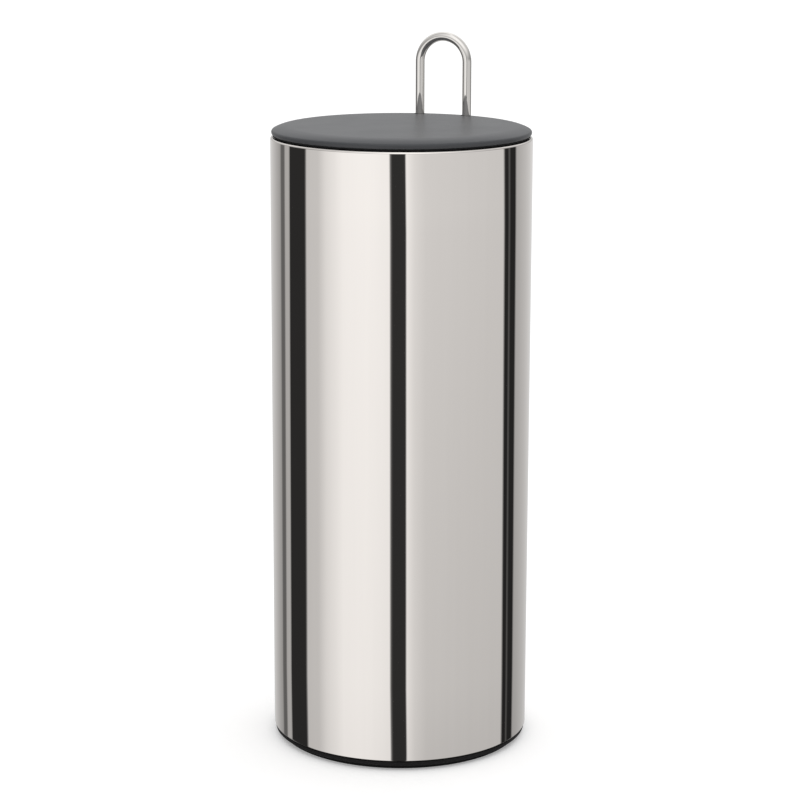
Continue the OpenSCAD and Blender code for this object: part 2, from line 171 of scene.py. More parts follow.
LID_RIB_T = 1.4
LID_RIB_LOW = LID_UNDER - 3.4
LID_RIB_RING = 26.0
LID_HUB = 10.0
SCREW_RING = SHELL_R - 26.0
SCREW_BOSS = 3.6
SCREW_R = 1.45
HEAD_D = 5.6
HEAD_H = 1.6
SEAT_R = HEAD_D / 2 + HOLE_GAP + 1.5
SEAT_LOW = LINER_LOW - 1.6
HEAD_TOP = SEAT_LOW + HEAD_H + 0.2
BORE_TOP = LID_UNDER - 0.4
SEAL_LOW = RIM_Z + 0.3
SEAL_IN = LOCATE_OUT + FIT
SEAL_OUT = SEAL_IN + 3.2
SLEEVE_OUT = SEAL_IN + 1.4

# The screws: shares of the head's radius and height, and the thread
HEAD_FLAT = 0.62
HEAD_EDGE = 0.42
RECESS_SHARE = 0.6
RECESS_W = 0.9
RECESS_DEPTH = 0.9
THREAD_PITCH = 1.0
THREAD_DEPTH = 0.28

# Where the wire's legs and the liner's screws stand: (x, y)
LEGS = {"left": (-LEG_X, WIRE_BACK), "right": (LEG_X, WIRE_BACK)}
LINER_SCREWS = [
    (SCREW_RING * math.cos(math.radians(a)), SCREW_RING * math.sin(math.radians(a)))
    for a in (270, 30, 150)
]

# ---------------------------------------------------------------------------------------------
# Bench work: how the pieces are shaped
# ---------------------------------------------------------------------------------------------


def object_mode():
    if bpy.context.object and bpy.context.object.mode != "OBJECT":
        bpy.ops.object.mode_set(mode="OBJECT")


def clear_bench():
    object_mode()
    bpy.ops.object.select_all(action="DESELECT")


def take(piece):
    """Makes one piece the selected and active one."""
    clear_bench()
    piece.select_set(True)
    bpy.context.view_layer.objects.active = piece


def settle(piece):
    """Puts a piece's place, turn and scale into its mesh."""
    take(piece)
    bpy.ops.object.transform_apply(location=True, rotation=True, scale=True)
    return piece


def arc(r, z, radius, start, end, steps):
    """Points of a half section on an arc, between two angles in degrees."""
    return [
        (
            r + radius * math.cos(math.radians(start + (end - start) * i / steps)),
            z + radius * math.sin(math.radians(start + (end - start) * i / steps)),
        )
        for i in range(steps + 1)
    ]


def softened(corners, steps=4):
    """A closed half section with rounded corners. Each corner is (radius, height, rounding)."""
    line = []
    for i, (r, z, rounding) in enumerate(corners):
        here = Vector((r, z))
        back = Vector(corners[i - 1][:2]) - here
        ahead = Vector(corners[(i + 1) % len(corners)][:2]) - here
        if rounding <= 0 or back.length < 1e-6 or ahead.length < 1e-6:
            line.append((r, z))
            continue
        half = back.angle(ahead) / 2
        reach = min(rounding / math.tan(half), 0.48 * back.length, 0.48 * ahead.length)
        radius = reach * math.tan(half)
        centre = here + (back.normalized() + ahead.normalized()).normalized() * (radius / math.sin(half))
        start = here + back.normalized() * reach - centre
        end = here + ahead.normalized() * reach - centre
        first = math.atan2(start.y, start.x)
        sweep = (math.atan2(end.y, end.x) - first + math.pi) % (2 * math.pi) - math.pi
        for k in range(steps + 1):
            a = first + sweep * k / steps
            line.append((centre.x + radius * math.cos(a), centre.y + radius * math.sin(a)))
    return line


def turned(name, section, steps=RING_STEPS):
    """A piece turned on the axis from its closed half section."""
    clear_bench()
    r, z = section[0]
    bpy.ops.mesh.primitive_plane_add(size=MM, location=(r * MM, 0, z * MM))
    piece = bpy.context.object
    piece.name = name
    settle(piece)
    bpy.ops.object.mode_set(mode="EDIT")
    bpy.ops.mesh.select_all(action="SELECT")
    bpy.ops.mesh.merge(type="CENTER")
    for r2, z2 in section[1:] + section[:1]:
        bpy.ops.mesh.extrude_vertices_move(
            TRANSFORM_OT_translate={"value": ((r2 - r) * MM, 0, (z2 - z) * MM)}
        )
        r, z = r2, z2
    bpy.ops.mesh.select_all(action="SELECT")
    bpy.ops.mesh.remove_doubles(threshold=MERGE)
    bpy.ops.mesh.select_all(action="SELECT")
    bpy.ops.mesh.spin(
        steps=steps, angle=2 * math.pi, center=(0, 0, 0), axis=(0, 0, 1), use_auto_merge=True
    )
    bpy.ops.mesh.select_all(action="SELECT")
    bpy.ops.mesh.remove_doubles(threshold=MERGE)
    bpy.ops.mesh.delete_loose(use_verts=True, use_edges=True, use_faces=False)
    bpy.ops.mesh.select_all(action="SELECT")
    bpy.ops.mesh.normals_make_consistent(inside=False)
    object_mode()
    return piece


def post(name, radius, low, high, steps=BORE_STEPS):
    """A round bar on the axis, with its ends left sharp to be fused or cut away."""
    clear_bench()
    bpy.ops.mesh.primitive_cylinder_add(
        vertices=steps, radius=radius * MM, depth=(high - low) * MM, location=(0, 0, (low + high) / 2 * MM)
    )
    piece = bpy.context.object
    piece.name = name
    return settle(piece)


def block(name, size, middle, turn=0.0):
    """A box of a size about its middle, turned upright about it, to be shaped further or cut away."""
    clear_bench()
    bpy.ops.mesh.primitive_cube_add(
        size=1, location=[m * MM for m in middle], rotation=(0, 0, turn), scale=[w * MM for w in size]
    )
    piece = bpy.context.object
    piece.name = name
    return settle(piece)


def pick(piece, wanted):
    """Goes into edit mode with only those points selected whose place passes a test."""
    take(piece)
    bpy.ops.object.mode_set(mode="EDIT")
    bpy.ops.mesh.select_mode(type="VERT")
    bpy.ops.mesh.select_all(action="DESELECT")
    object_mode()
    for v in piece.data.vertices:
        v.select = wanted(v.co)
    bpy.ops.object.mode_set(mode="EDIT")


def copies(piece, count):
    """The piece and its copies, each with its own mesh."""
    made = [piece]
    for _ in range(count - 1):
        take(piece)
        bpy.ops.object.duplicate(linked=False)
        made.append(bpy.context.object)
    return made


def copied_round(piece, angles):
    """Copies of a piece, turned about the axis to each angle."""
    made = copies(piece, len(angles))
    for copy, angle in zip(made, angles):
        take(copy)
        bpy.ops.object.mode_set(mode="EDIT")
        bpy.ops.mesh.select_all(action="SELECT")
        bpy.ops.transform.rotate(value=-angle, orient_axis="Z", center_override=(0, 0, 0))
        object_mode()
    return made


def copied_to(piece, places):
    """Copies of a piece that was shaped on the axis, moved to each place."""
    places = list(places)
    made = copies(piece, len(places))
    for copy, (x, y) in zip(made, places):
        take(copy)
        bpy.ops.object.mode_set(mode="EDIT")
        bpy.ops.mesh.select_all(action="SELECT")
        bpy.ops.transform.translate(value=(x * MM, y * MM, 0))
        object_mode()
    return made


def ribs(name, count, spans, low, high, thick):
    """Straight ribs with softened edges, which run outwards from the axis over each span of radii."""
    pitch = 2 * math.pi / count
    made = []
    for inner, outer in spans:
        rib = block(name, (outer - inner, thick, high - low), ((inner + outer) / 2, 0, (low + high) / 2))
        bpy.ops.object.mode_set(mode="EDIT")
        bpy.ops.mesh.select_all(action="SELECT")
        bpy.ops.mesh.bevel(offset=0.25 * MM, segments=2, affect="EDGES")
        object_mode()
        made += copied_round(rib, [(i + 0.5) * pitch for i in range(count)])
    return made


def gathered(pieces):
    """Joins pieces that don't touch each other into one mesh."""
    clear_bench()
    for p in pieces:
        p.select_set(True)
    bpy.context.view_layer.objects.active = pieces[0]
    if len(pieces) > 1:
        bpy.ops.object.join()
    return pieces[0]


def worked(piece, how, tools):
    """Cuts the tools from a piece, fuses them to it, or keeps what they share with it."""
    tool = gathered(tools)
    take(piece)
    bpy.ops.object.modifier_add(type="BOOLEAN")
    step = piece.modifiers[-1]
    step.operation = how
    step.solver = "EXACT"
    step.object = tool
    bpy.ops.object.modifier_apply(modifier=step.name)
    bpy.data.objects.remove(tool)
    return piece


def cut(piece, tools):
    return worked(piece, "DIFFERENCE", tools)


def fuse(piece, tools):
    return worked(piece, "UNION", tools)


def keep(piece, tools):
    return worked(piece, "INTERSECT", tools)


def tidy_mesh(piece, angle=35):
    """Merges stray points and shades the piece smooth up to an edge angle."""
    take(piece)
    bpy.ops.object.mode_set(mode="EDIT")
    bpy.ops.mesh.select_all(action="SELECT")
    bpy.ops.mesh.remove_doubles(threshold=0.75 * MERGE)
    object_mode()
    bpy.ops.object.shade_smooth_by_angle(angle=math.radians(angle))
    return piece


def finished(piece, node, body, material, angle=35):
    """Shades a piece, gives it its finish and lets it ride on its body in place of its CAD node."""
    tidy_mesh(piece, angle)
    piece.name = "shown_" + node
    piece.data.materials.clear()
    piece.data.materials.append(material)
    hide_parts(node)
    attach(piece, body)
    return piece


# ---------------------------------------------------------------------------------------------
# Finishes
# ---------------------------------------------------------------------------------------------


def feed(tree, socket, value):
    """Links a node's output to a socket, or sets the socket to a number or a colour."""
    if isinstance(value, bpy.types.NodeSocket):
        tree.links.new(value, socket)
    else:
        socket.default_value = value


def add_node(tree, kind, settings=None, **inputs):
    """A new node with its settings and its inputs, in whose names _ stands for a space."""
    made = tree.nodes.new(kind)
    for key, value in (settings or {}).items():
        setattr(made, key, value)
    for key, value in inputs.items():
        feed(tree, made.inputs[key.replace("_", " ")], value)
    return made


def math_node(tree, operation, *values):
    made = add_node(tree, "ShaderNodeMath", {"operation": operation})
    for socket, value in zip(made.inputs, values):
        feed(tree, socket, value)
    return made.outputs[0]


def ranged(tree, value, low, high, to_low=0.0, to_high=1.0, how="LINEAR"):
    """Maps what lies between two limits to another range, and holds it there beyond them."""
    made = add_node(
        tree,
        "ShaderNodeMapRange",
        {"interpolation_type": how},
        Value=value,
        From_Min=low,
        From_Max=high,
        To_Min=to_low,
        To_Max=to_high,
    )
    return made.outputs[0]


def mixed(tree, share, first, second, how="MIX"):
    """Mixes two colours by a share, or multiplies them."""
    made = add_node(tree, "ShaderNodeMix", {"data_type": "RGBA", "blend_type": how})
    for i, value in ((0, share), (6, first), (7, second)):
        feed(tree, made.inputs[i], value)
    return made.outputs[2]


def noise(tree, place, scale, detail, roughness):
    made = add_node(
        tree, "ShaderNodeTexNoise", Vector=place, Scale=scale, Detail=detail, Roughness=roughness
    )
    return made.outputs["Fac"]


def weighed(tree, first, share, second):
    """Adds two values, the first by its share and the second by the rest."""
    return math_node(
        tree,
        "ADD",
        math_node(tree, "MULTIPLY", first, share),
        math_node(tree, "MULTIPLY", second, 1 - share),
    )


def new_effect(name, inputs, outputs):
    """A shader node group with named inputs and outputs, and its own place coordinates."""
    group = bpy.data.node_groups.new(name, "ShaderNodeTree")
    for label, value in inputs:
        kind = "NodeSocketColor" if isinstance(value, tuple) else "NodeSocketFloat"
        socket = group.interface.new_socket(name=label, in_out="INPUT", socket_type=kind)
        socket.default_value = value
    for label, kind in outputs:
        group.interface.new_socket(name=label, in_out="OUTPUT", socket_type=kind)
    into = group.nodes.new("NodeGroupInput")
    out = group.nodes.new("NodeGroupOutput")
    place = group.nodes.new("ShaderNodeTexCoord").outputs["Object"]
    return group, into.outputs, out.inputs, place


def moulded_grain():
    """Fine spark-eroded grain of a plastic moulding, with a faint cloudiness in its colour and gloss."""
    group, into, out, place = new_effect(
        "moulded_grain",
        [
            ("Fineness", 2600.0),
            ("Dark", (0.02, 0.02, 0.02, 1.0)),
            ("Light", (0.03, 0.03, 0.03, 1.0)),
            ("Low Roughness", 0.4),
            ("High Roughness", 0.5),
        ],
        [("Color", "NodeSocketColor"), ("Roughness", "NodeSocketFloat"), ("Height", "NodeSocketFloat")],
    )
    fine = noise(group, place, into["Fineness"], detail=3.0, roughness=0.6)
    cloud = noise(group, place, 38.0, detail=3.0, roughness=0.55)
    pit_scale = math_node(group, "MULTIPLY", into["Fineness"], 0.45)
    pits = add_node(group, "ShaderNodeTexVoronoi", Vector=place, Scale=pit_scale)
    tone = weighed(group, cloud, 0.6, fine)
    feed(group, out["Color"], mixed(group, tone, into["Dark"], into["Light"]))
    gloss = ranged(group, tone, 0.3, 0.7, into["Low Roughness"], into["High Roughness"])
    feed(group, out["Roughness"], gloss)
    feed(group, out["Height"], weighed(group, fine, 0.7, pits.outputs["Distance"]))
    return group


def drawn_lines():
    """Fine straight lines that rolling, drawing or polishing leaves in metal, along one direction."""
    group, into, out, place = new_effect(
        "drawn_lines",
        [("Across", 900.0), ("Along", 6.0), ("Low Roughness", 0.05), ("High Roughness", 0.12)],
        [("Roughness", "NodeSocketFloat"), ("Height", "NodeSocketFloat"), ("Mask", "NodeSocketFloat")],
    )
    parts = add_node(group, "ShaderNodeSeparateXYZ", Vector=place).outputs
    stretched = add_node(
        group,
        "ShaderNodeCombineXYZ",
        X=math_node(group, "MULTIPLY", parts[0], into["Across"]),
        Y=math_node(group, "MULTIPLY", parts[1], into["Across"]),
        Z=math_node(group, "MULTIPLY", parts[2], into["Along"]),
    )
    lines = noise(group, stretched.outputs[0], 1.0, detail=2.0, roughness=0.5)
    gloss = ranged(group, lines, 0.3, 0.7, into["Low Roughness"], into["High Roughness"])
    feed(group, out["Roughness"], gloss)
    feed(group, out["Height"], lines)
    feed(group, out["Mask"], lines)
    return group


def handling_marks():
    """Faint smudges of use: broad soft patches broken up by a finer pattern."""
    group, into, out, place = new_effect(
        "handling_marks",
        [("Patch Scale", 22.0), ("Clean", 0.0), ("Smudged", 0.03)],
        [("Roughness", "NodeSocketFloat")],
    )
    broad = noise(group, place, into["Patch Scale"], detail=4.0, roughness=0.6)
    broken = noise(group, place, 420.0, detail=3.0, roughness=0.7)
    patches = ranged(group, broad, 0.52, 0.72, how="SMOOTHSTEP")
    mask = math_node(group, "MULTIPLY", patches, broken)
    feed(group, out["Roughness"], ranged(group, mask, 0.0, 0.6, into["Clean"], into["Smudged"]))
    return group


GRAIN = moulded_grain()
LINES = drawn_lines()
MARKS = handling_marks()


def new_finish(name):
    finish = bpy.data.materials.new(name)
    finish.use_nodes = True
    return finish, finish.node_tree, finish.node_tree.nodes["Principled BSDF"]


def placed(tree, group, **inputs):
    """Places an effect in a material with its own values."""
    made = add_node(tree, "ShaderNodeGroup", {"node_tree": group}, **inputs)
    return made.outputs


def bumped(tree, shader, height, strength, distance):
    bump = add_node(tree, "ShaderNodeBump", Height=height, Strength=strength, Distance=distance)
    tree.links.new(bump.outputs[0], shader.inputs["Normal"])


def moulding(name, dark, light, rough, fineness=2600.0, strength=0.15, distance=0.00004, shine=0.5):
    """A plastic or rubber moulding with its grain."""
    finish, tree, shader = new_finish(name)
    grain = placed(
        tree,
        GRAIN,
        Fineness=fineness,
        Dark=dark,
        Light=light,
        Low_Roughness=rough[0],
        High_Roughness=rough[1],
    )
    shader.inputs["Specular IOR Level"].default_value = shine
    feed(tree, shader.inputs["Base Color"], grain["Color"])
    feed(tree, shader.inputs["Roughness"], grain["Roughness"])
    bumped(tree, shader, grain["Height"], strength, distance)
    return finish


def metal(name, dark, light, rough, across, along, smudged=0.0, strength=0.02, distance=0.00002):
    """A bare metal with the lines of its making and a few marks of handling."""
    finish, tree, shader = new_finish(name)
    shader.inputs["Metallic"].default_value = 1.0
    lines = placed(tree, LINES, Across=across, Along=along, Low_Roughness=rough[0], High_Roughness=rough[1])
    marks = placed(tree, MARKS, Smudged=smudged)
    gloss = math_node(tree, "ADD", lines["Roughness"], marks["Roughness"])
    feed(tree, shader.inputs["Base Color"], mixed(tree, lines["Mask"], dark, light))
    feed(tree, shader.inputs["Roughness"], gloss)
    bumped(tree, shader, lines["Height"], strength, distance)
    return finish


def paint_hem_shade(finish, darkest):
    """Painted shade: multiplies the base colour of the hem's turned-in bend down to its darkest share below
    the given heights, in place of the shadowed floor that the bend mirrors.
    """
    tree = finish.node_tree
    colour = tree.nodes["Principled BSDF"].inputs["Base Color"]
    place = add_node(tree, "ShaderNodeTexCoord").outputs["Object"]
    height = add_node(tree, "ShaderNodeSeparateXYZ", Vector=place).outputs[2]
    low, high = HEM_PAINTED_SHADE
    shade = ranged(tree, height, low * MM, high * MM, darkest)
    feed(tree, colour, mixed(tree, 1.0, colour.links[0].from_socket, shade, "MULTIPLY"))


polished_steel = metal(
    "polished_steel",
    (0.905, 0.862, 0.825, 1.0),
    (0.935, 0.892, 0.855, 1.0),
    (0.012, 0.024),
    across=240.0,
    along=5.0,
    smudged=0.02,
    strength=0.01,
    distance=0.00001,
)

# Painted shade on the hem's bend, darkest at 0.08 of the steel's colour
paint_hem_shade(polished_steel, darkest=0.08)
rolled_steel = metal(
    "rolled_steel_inside",
    (0.74, 0.725, 0.705, 1.0),
    (0.80, 0.785, 0.765, 1.0),
    (0.40, 0.48),
    across=300.0,
    along=8.0,
    strength=0.01,
    distance=0.00001,
)
polished_wire = metal(
    "polished_wire",
    (0.77, 0.745, 0.715, 1.0),
    (0.86, 0.835, 0.805, 1.0),
    (0.02, 0.045),
    across=1500.0,
    along=14.0,
    smudged=0.04,
    strength=0.06,
)
zinc_steel = metal(
    "zinc_plated_steel",
    (0.52, 0.52, 0.53, 1.0),
    (0.66, 0.65, 0.63, 1.0),
    (0.22, 0.36),
    across=1800.0,
    along=1800.0,
    smudged=0.1,
    strength=0.1,
)
spring_steel = metal(
    "spring_steel",
    (0.28, 0.27, 0.26, 1.0),
    (0.36, 0.35, 0.34, 1.0),
    (0.25, 0.38),
    across=1600.0,
    along=400.0,
    smudged=0.1,
    strength=0.1,
)
satin_lid = moulding(
    "satin_lid",
    (0.064, 0.066, 0.071, 1.0),
    (0.074, 0.077, 0.083, 1.0),
    (0.34, 0.40),
    strength=0.1,
    shine=0.3,
)
black_moulding = moulding(
    "black_moulding",
    (0.013, 0.0125, 0.013, 1.0),
    (0.019, 0.018, 0.019, 1.0),
    (0.5, 0.6),
    shine=0.12,
)
grey_moulding = moulding(
    "grey_moulding",
    (0.044, 0.044, 0.047, 1.0),
    (0.056, 0.056, 0.059, 1.0),
    (0.42, 0.52),
)
soft_rubber = moulding(
    "soft_rubber",
    (0.014, 0.014, 0.0145, 1.0),
    (0.021, 0.021, 0.0215, 1.0),
    (0.72, 0.82),
    fineness=1500.0,
    strength=0.3,
    shine=0.1,
)

# ---------------------------------------------------------------------------------------------
# Canister: shell, base and foot ring
# ---------------------------------------------------------------------------------------------


def make_shell():
    """The sheet steel body: a rolled rim at the top and a hem that turns in at the bottom."""
    roll_r = SHELL_R - RIM_ROLL
    roll_z = RIM_Z - RIM_ROLL
    lip_z = roll_z - RIM_LIP
    bend_r = SHELL_R - HEM_BEND
    bend_z = HEM_Z + HEM_BEND
    heights = [bend_z + (roll_z - bend_z) * i / 8 for i in range(1, 8)]
    section = arc(bend_r, bend_z, HEM_BEND, -90, 0, 8)
    section += [(SHELL_R, z) for z in heights]
    section += arc(roll_r, roll_z, RIM_ROLL, 0, 180, 18)
    section += arc(RIM_IN + SHEET / 2, lip_z + SHEET / 2, SHEET / 2, 180, 360, 6)
    section += arc(roll_r, roll_z, RIM_ROLL - SHEET, 180, 0, 14)
    section += [(SHELL_R - SHEET, z) for z in reversed(heights)]
    section += arc(bend_r, bend_z, HEM_BEND - SHEET, 0, -90, 6)
    section += arc(HEM_IN + SHEET / 2, HEM_Z + SHEET / 2, SHEET / 2, 90, 270, 6)
    shell = turned("shell_blank", section, SHELL_STEPS)
    finished(shell, "shell", "canister", polished_steel, angle=60)
    shell.data.materials.append(rolled_steel)
    inside = SHELL_R - SHEET / 2
    for face in shell.data.polygons:
        middle = face.center
        across = math.hypot(middle.x, middle.y) / MM
        inward = face.normal.x * middle.x + face.normal.y * middle.y < 0
        if across < inside and inward and HEM_Z + SHEET < middle.z / MM < RIM_Z - RIM_ROLL:
            face.material_index = 1
    return shell


def make_tab_gap(sweep):
    """The tool that cuts the gap after the first snap tab, so that each tab can flex."""
    low, high = HEM_Z + 0.3, BASE_FLOOR + PAST
    inner, outer = COLLAR_IN - PAST, COLLAR_R + HOOK_REACH + PAST
    clear_bench()
    bpy.ops.mesh.primitive_plane_add(
        size=1,
        location=((inner + outer) / 2 * MM, 0, (low + high) / 2 * MM),
        rotation=(math.pi / 2, 0, 0),
    )
    gap = bpy.context.object
    gap.name = "tab_gap"
    gap.scale = ((outer - inner) * MM, (high - low) * MM, 1)
    settle(gap)
    bpy.ops.object.mode_set(mode="EDIT")
    bpy.ops.mesh.select_all(action="SELECT")
    bpy.ops.transform.rotate(value=-TAB_ANGLE / 2, orient_axis="Z", center_override=(0, 0, 0))
    bpy.ops.mesh.spin(steps=14, angle=sweep, center=(0, 0, 0), axis=(0, 0, 1))
    bpy.ops.mesh.select_all(action="SELECT")
    bpy.ops.mesh.remove_doubles(threshold=MERGE)
    bpy.ops.mesh.normals_make_consistent(inside=False)
    object_mode()
    return gap


def make_base():
    """The black moulding that closes the canister: skirt, snap tabs, floor and the ribs below it."""
    foot_wall = SKIRT_R - SKIRT_T
    skirt = softened(
        [
            (SKIRT_R, SKIRT_Z, SKIRT_ROUND),
            (SKIRT_R, HEM_Z - GROOVE_H, 0.15),
            (SKIRT_R - GROOVE_W, HEM_Z - GROOVE_H, 0),
            (SKIRT_R - GROOVE_W, HEM_Z, 0.1),
            (COLLAR_R, HEM_Z, 0),
            (COLLAR_R, HOOK_Z, 0),
            (COLLAR_R + HOOK_REACH, HOOK_Z, 0.1),
            (COLLAR_R + HOOK_REACH, HOOK_Z + HOOK_EDGE, 0.25),
            (COLLAR_R - TAB_LEAN, TAB_TOP, 0.3),
            (COLLAR_IN, TAB_TOP, 0.3),
            (COLLAR_IN, HEM_Z, 0),
            (BASE_RING_OUT, HEM_Z, 0.3),
            (BASE_RING_OUT, BASE_FLOOR, 0.5),
            (BASE_HUB - 6, BASE_FLOOR, 0),
            (0, BASE_FLOOR, 0),
            (0, BASE_FLOOR - BASE_FLOOR_T, 0),
            (BASE_HUB - BASE_RIB_T, BASE_FLOOR - BASE_FLOOR_T, 0),
            (BASE_HUB - BASE_RIB_T, BASE_RIB_LOW, 0.3),
            (BASE_HUB, BASE_RIB_LOW, 0.3),
            (BASE_HUB, BASE_FLOOR - BASE_FLOOR_T, 0.3),
            (BASE_RIB_RING - BASE_RIB_T / 2, BASE_FLOOR - BASE_FLOOR_T, 0.3),
            (BASE_RIB_RING - BASE_RIB_T / 2, BASE_RIB_LOW, 0.3),
            (BASE_RIB_RING + BASE_RIB_T / 2, BASE_RIB_LOW, 0.3),
            (BASE_RIB_RING + BASE_RIB_T / 2, BASE_FLOOR - BASE_FLOOR_T, 0.3),
            (BASE_RING_IN, BASE_FLOOR - BASE_FLOOR_T, 0.4),
            (BASE_RING_IN, SKIRT_Z, 0.3),
            (BASE_RING_OUT, SKIRT_Z, 0.3),
            (BASE_RING_OUT, FOOT_H, 0.2),
            (foot_wall, FOOT_H, 0.2),
            (foot_wall, SKIRT_Z, 0.25),
        ],
        steps=3,
    )
    base = turned("base_blank", skirt)
    pitch = 2 * math.pi / TAB_COUNT
    cut(base, copied_round(make_tab_gap(pitch - TAB_ANGLE), [i * pitch for i in range(TAB_COUNT)]))
    spans = (
        (BASE_HUB - ROOT, BASE_RIB_RING - BASE_RIB_T / 2 + ROOT),
        (BASE_RIB_RING + BASE_RIB_T / 2 - ROOT, BASE_RING_IN + ROOT),
    )
    rib_top = BASE_FLOOR - BASE_FLOOR_T + ROOT
    fuse(base, ribs("base_rib", BASE_RIBS, spans, BASE_RIB_LOW + 0.1, rib_top, BASE_RIB_T))
    return finished(base, "base", "canister", black_moulding)


def make_foot_ring():
    """The soft ring in the base's channel that the canister stands on, with two shallow tread grooves."""
    section = [(FOOT_IN, 0.0, 0.3)]
    for middle in (FOOT_IN + 1.5, FOOT_IN + 3.0):
        section += [
            (middle - TREAD_W / 2, 0.0, 0.12),
            (middle, TREAD_DEPTH, 0.1),
            (middle + TREAD_W / 2, 0.0, 0.12),
        ]
    section += [(FOOT_OUT, 0.0, 1.1), (FOOT_OUT, FOOT_H, 0.1), (FOOT_IN, FOOT_H, 0.1)]
    ring = turned("foot_blank", softened(section))
    return finished(ring, "foot_ring", "canister", soft_rubber, angle=50)


# ---------------------------------------------------------------------------------------------
# Carrier: tray, wire, lid and what joins them
# ---------------------------------------------------------------------------------------------


def make_socket():
    """A socket of the tray, shaped on the axis, with three sloping gussets."""
    section = [(0, TRAY_LOW, 0), (SOCKET_R, TRAY_LOW, 0.3), (SOCKET_R, SOCKET_TOP, 0.6), (0, SOCKET_TOP, 0)]
    socket = turned("socket_blank", softened(section), BORE_STEPS)
    length = GUSSET_REACH + GUSSET_ROOT
    low = TRAY_FLOOR - 0.4
    gusset = block(
        "gusset",
        (length, TRAY_RIB_T, GUSSET_TOP - low),
        (SOCKET_R - GUSSET_ROOT + length / 2, 0, (GUSSET_TOP + low) / 2),
    )
    pick(gusset, lambda place: place.x > SOCKET_R * MM and place.z > (TRAY_FLOOR + 1) * MM)
    bpy.ops.transform.translate(value=(0, 0, -(GUSSET_TOP - TRAY_FLOOR - 0.5) * MM))
    bpy.ops.mesh.select_all(action="SELECT")
    bpy.ops.mesh.bevel(offset=0.2 * MM, segments=2, affect="EDGES")
    object_mode()
    return fuse(socket, copied_round(gusset, (math.pi, 1.5 * math.pi, 0)))


def make_tray():
    """The round tray under the rolls: floor, lip, ribs, and two sockets for the wire."""
    ring_a = TRAY_RIB_RING - TRAY_RIB_T / 2
    ring_b = TRAY_RIB_RING + TRAY_RIB_T / 2
    lip_in = TRAY_R - LIP_T
    section = softened(
        [
            (0, TRAY_FLOOR, 0),
            (TRAY_HUB, TRAY_FLOOR, 0),
            (lip_in, TRAY_FLOOR, 0.8),
            (lip_in, LIP_TOP, 0.88),
            (TRAY_R, LIP_TOP, 0.88),
            (TRAY_R, TRAY_LOW, 0.4),
            (lip_in, TRAY_LOW, 0.4),
            (lip_in, TRAY_FLOOR_LOW, 0.4),
            (ring_b, TRAY_FLOOR_LOW, 0.3),
            (ring_b, TRAY_LOW, 0.3),
            (ring_a, TRAY_LOW, 0.3),
            (ring_a, TRAY_FLOOR_LOW, 0.3),
            (TRAY_HUB, TRAY_FLOOR_LOW, 0.3),
            (TRAY_HUB, TRAY_LOW, 0.3),
            (TRAY_HUB - TRAY_RIB_T, TRAY_LOW, 0.3),
            (TRAY_HUB - TRAY_RIB_T, TRAY_FLOOR_LOW, 0.3),
            (0, TRAY_FLOOR_LOW, 0),
        ],
        steps=4,
    )
    tray = turned("tray_blank", section)
    spans = ((TRAY_HUB - ROOT, ring_a + ROOT), (ring_b - ROOT, lip_in + ROOT))
    fuse(tray, ribs("tray_rib", TRAY_RIBS, spans, TRAY_LOW + 0.1, TRAY_FLOOR_LOW + ROOT, TRAY_RIB_T))
    for socket in copied_to(make_socket(), LEGS.values()):
        keep(socket, [post("rim_gauge", TRAY_R - 0.02, TRAY_LOW - PAST, SOCKET_TOP + PAST, RING_STEPS)])
        fuse(tray, [socket])
    bore_r = WIRE_R + FIT
    chamfer_z = SOCKET_TOP - 0.3
    bore = turned(
        "bore_tool",
        [
            (0, TRAY_LOW - PAST),
            (WASHER_R + HOLE_GAP, TRAY_LOW - PAST),
            (WASHER_R + HOLE_GAP, TRAY_LOW + HEAD_RECESS),
            (SCREW_PASS, TRAY_LOW + HEAD_RECESS),
            (SCREW_PASS, WIRE_END),
            (bore_r, WIRE_END),
            (bore_r, chamfer_z),
            (bore_r + PAST, chamfer_z + PAST),
            (0, chamfer_z + PAST),
        ],
        BORE_STEPS,
    )
    for tool in copied_to(bore, LEGS.values()):
        cut(tray, [tool])
    return finished(tray, "tray", "carrier", grey_moulding)


def make_screw(low, head_d, head_h, shank_r, length):
    """A pan-head screw that stands on its head on the axis, with a cross recess and a pointed thread."""
    reach = head_d / 2
    flat = reach * HEAD_FLAT
    edge = head_h * HEAD_EDGE
    core = shank_r - THREAD_DEPTH
    shank_low = low + head_h
    tip = shank_low + length
    section = [(0, low), (flat, low + 0.02)]
    section += [(min(r, reach), z) for r, z in arc(flat, low + edge, edge - 0.02, -88, -8, 5)]
    section += [(reach, low + edge), (reach, shank_low - 0.12), (reach - 0.12, shank_low), (core, shank_low)]
    z = shank_low + 0.5
    while z + THREAD_PITCH < tip - 1.2:
        turns = ((core, 0), (shank_r, 0.42), (shank_r, 0.5), (core, 0.92))
        section += [(r, z + THREAD_PITCH * share) for r, share in turns]
        z += THREAD_PITCH
    section += [(core, tip - 1.0), (0.35, tip - 0.05), (0, tip)]
    screw = turned("screw_blank", section, SCREW_STEPS)
    size = (head_d * RECESS_SHARE, RECESS_W, RECESS_DEPTH + ROOT)
    for turn in (0, math.pi / 2):
        cut(screw, [block("recess_tool", size, (0, 0, low + (RECESS_DEPTH - ROOT) / 2), turn)])
    return screw


def make_tray_screws():
    screw = make_screw(TRAY_LOW + HOLE_GAP, TRAY_HEAD_D, TRAY_HEAD_H, TRAY_SCREW_R, TRAY_SCREW_L)
    pair = gathered(copied_to(screw, LEGS.values()))
    return finished(pair, "tray_screws", "carrier", zinc_steel, angle=30)


def make_tray_washers():
    high = TRAY_LOW + HEAD_RECESS
    low = high - WASHER_T
    section = [(WASHER_BORE, low, 0.1), (WASHER_R, low, 0.15)]
    section += [(WASHER_R, high, 0.1), (WASHER_BORE, high, 0.1)]
    washer = turned("washer_blank", softened(section, steps=3), BORE_STEPS)
    pair = gathered(copied_to(washer, LEGS.values()))
    return finished(pair, "tray_washers", "carrier", zinc_steel, angle=50)


